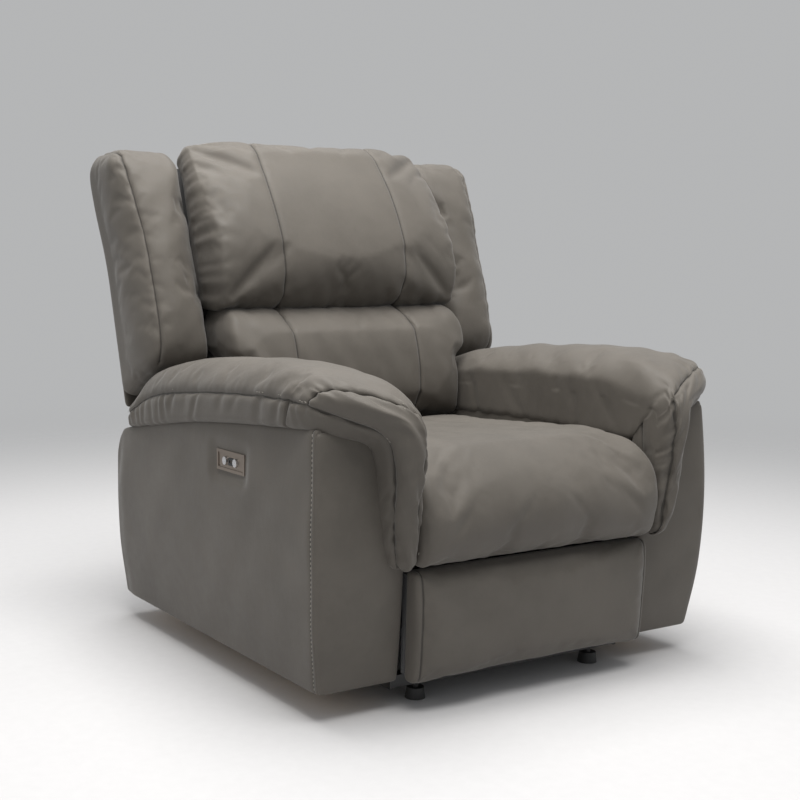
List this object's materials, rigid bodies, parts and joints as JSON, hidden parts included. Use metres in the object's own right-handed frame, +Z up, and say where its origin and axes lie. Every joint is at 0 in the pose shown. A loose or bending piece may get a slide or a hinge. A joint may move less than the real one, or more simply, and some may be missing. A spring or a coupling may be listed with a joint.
{
  "type": "recliner armchair",
  "caption": "Powered recliner armchair with padded rolled arms, a winged back with head and lumbar pillows, a swing-out footrest on a scissor linkage and arm-side push buttons.",
  "frame": {"origin": "centre of the footprint on the floor, below the middle of the overall box", "axes": "+Z up, the chair faces -Y, +X to the right when it is seen from the front; left and right name the sides as seen from the front"},
  "size_m": [0.98, 1.06, 1.095],
  "materials": {
    "steel": "satin black paint",
    "timber": "raw plywood",
    "upholstery": "matte warm grey faux leather",
    "black_plastic": "matte",
    "zinc": "zinc plated",
    "deck_cloth": "woven",
    "foam": "open cell foam",
    "nylon": "satin",
    "bezel": "satin bronze",
    "button": "satin"
  },
  "bodies": {
    "base": {"base_rail_left": "steel", "base_rail_right": "steel", "front_cross_tube": "steel", "rear_cross_tube": "steel", "foot_front_left": "black_plastic", "foot_front_right": "black_plastic", "foot_rear_left": "black_plastic", "foot_rear_right": "black_plastic", "arm_frame_left": "timber", "arm_frame_right": "timber", "side_panel_left": "upholstery", "side_panel_right": "upholstery", "front_panel_left": "upholstery", "front_panel_right": "upholstery", "inner_panel_left": "upholstery", "inner_panel_right": "upholstery", "rear_panel_left": "upholstery", "rear_panel_right": "upholstery", "arm_pad_left": "upholstery", "arm_pad_right": "upholstery", "control_bezel": "bezel", "usb_socket": "black_plastic", "power_inlet": "black_plastic"},
    "carriage": {"mech_plate_left": "steel", "mech_plate_right": "steel", "carriage_cross_front": "steel", "carriage_cross_rear": "steel", "seat_frame": "timber", "seat_springs": "zinc", "seat_deck": "deck_cloth", "seat_cushion": "upholstery", "drive_motor": "black_plastic", "drive_track": "steel"},
    "back": {"back_frame": "timber", "back_bracket_left": "steel", "back_bracket_right": "steel", "back_webbing": "deck_cloth", "back_core": "foam", "rear_cover": "upholstery", "wing_left": "upholstery", "wing_right": "upholstery", "headrest_pillow": "upholstery", "lumbar_pillow": "upholstery"},
    "main_links": {"main_link_left": "steel", "main_link_right": "steel", "torque_tube": "steel"},
    "front_links": {"front_link_left": "steel", "front_link_right": "steel"},
    "lift_links": {"lift_link_left": "steel", "lift_link_right": "steel"},
    "guide_links": {"guide_link_left": "zinc", "guide_link_right": "zinc"},
    "footrest": {"footrest_board": "timber", "footrest_pad": "upholstery", "footrest_bracket_left": "steel", "footrest_bracket_right": "steel"},
    "drive_nut": {"drive_nut": "nylon"},
    "button_front": {"button_front": "button"},
    "button_rear": {"button_rear": "button"}
  },
  "joints": [
    {"name": "seat_slide", "type": "slide", "parent": "base", "child": "carriage", "axis": [0, -1, 0], "range_m": [0, 0.04]},
    {"name": "back_recline", "type": "hinge", "parent": "carriage", "child": "back", "pos_m": [0, 0.26, 0.3], "axis": [-1, 0, 0], "range_deg": [0, 30]},
    {"name": "footrest_extend", "type": "hinge", "parent": "carriage", "child": "main_links", "pos_m": [0, -0.3408, 0.2316], "axis": [-1, 0, 0], "range_deg": [0, 98.8]},
    {"name": "front_link_turn", "type": "hinge", "parent": "carriage", "child": "front_links", "pos_m": [0, -0.39643, 0.25408], "axis": [-1, 0, 0], "range_deg": [0, 98.8]},
    {"name": "lift_link_turn", "type": "hinge", "parent": "main_links", "child": "lift_links", "pos_m": [0, -0.3077, 0.06272], "axis": [-1, 0, 0], "range_deg": [-98.8, 0]},
    {"name": "guide_link_turn", "type": "hinge", "parent": "main_links", "child": "guide_links", "pos_m": [0, -0.2877, 0.09736], "axis": [-1, 0, 0], "range_deg": [-98.8, 0]},
    {"name": "footrest_turn", "type": "hinge", "parent": "lift_links", "child": "footrest", "pos_m": [0, -0.43498, 0.19], "axis": [-1, 0, 0], "range_deg": [0, 98.8]},
    {"name": "nut_travel", "type": "slide", "parent": "carriage", "child": "drive_nut", "axis": [0, -1, 0], "range_m": [0, 0.0912]},
    {"name": "button_front_press", "type": "slide", "parent": "base", "child": "button_front", "axis": [1, 0, 0], "range_m": [0, 0.0015], "stiffness_N_per_m": 600, "springref_m": -0.002},
    {"name": "button_rear_press", "type": "slide", "parent": "base", "child": "button_rear", "axis": [1, 0, 0], "range_m": [0, 0.0015], "stiffness_N_per_m": 600, "springref_m": -0.002}
  ],
  "couplings": [
    {"joint": "seat_slide", "follows": "back_recline", "m_per_rad": 0.0763},
    {"joint": "front_link_turn", "follows": "footrest_extend", "ratio": 1},
    {"joint": "lift_link_turn", "follows": "footrest_extend", "ratio": -1},
    {"joint": "guide_link_turn", "follows": "footrest_extend", "ratio": -1},
    {"joint": "footrest_turn", "follows": "footrest_extend", "ratio": 1},
    {"joint": "nut_travel", "follows": "footrest_extend", "m_per_rad": 0.05283}
  ]
}
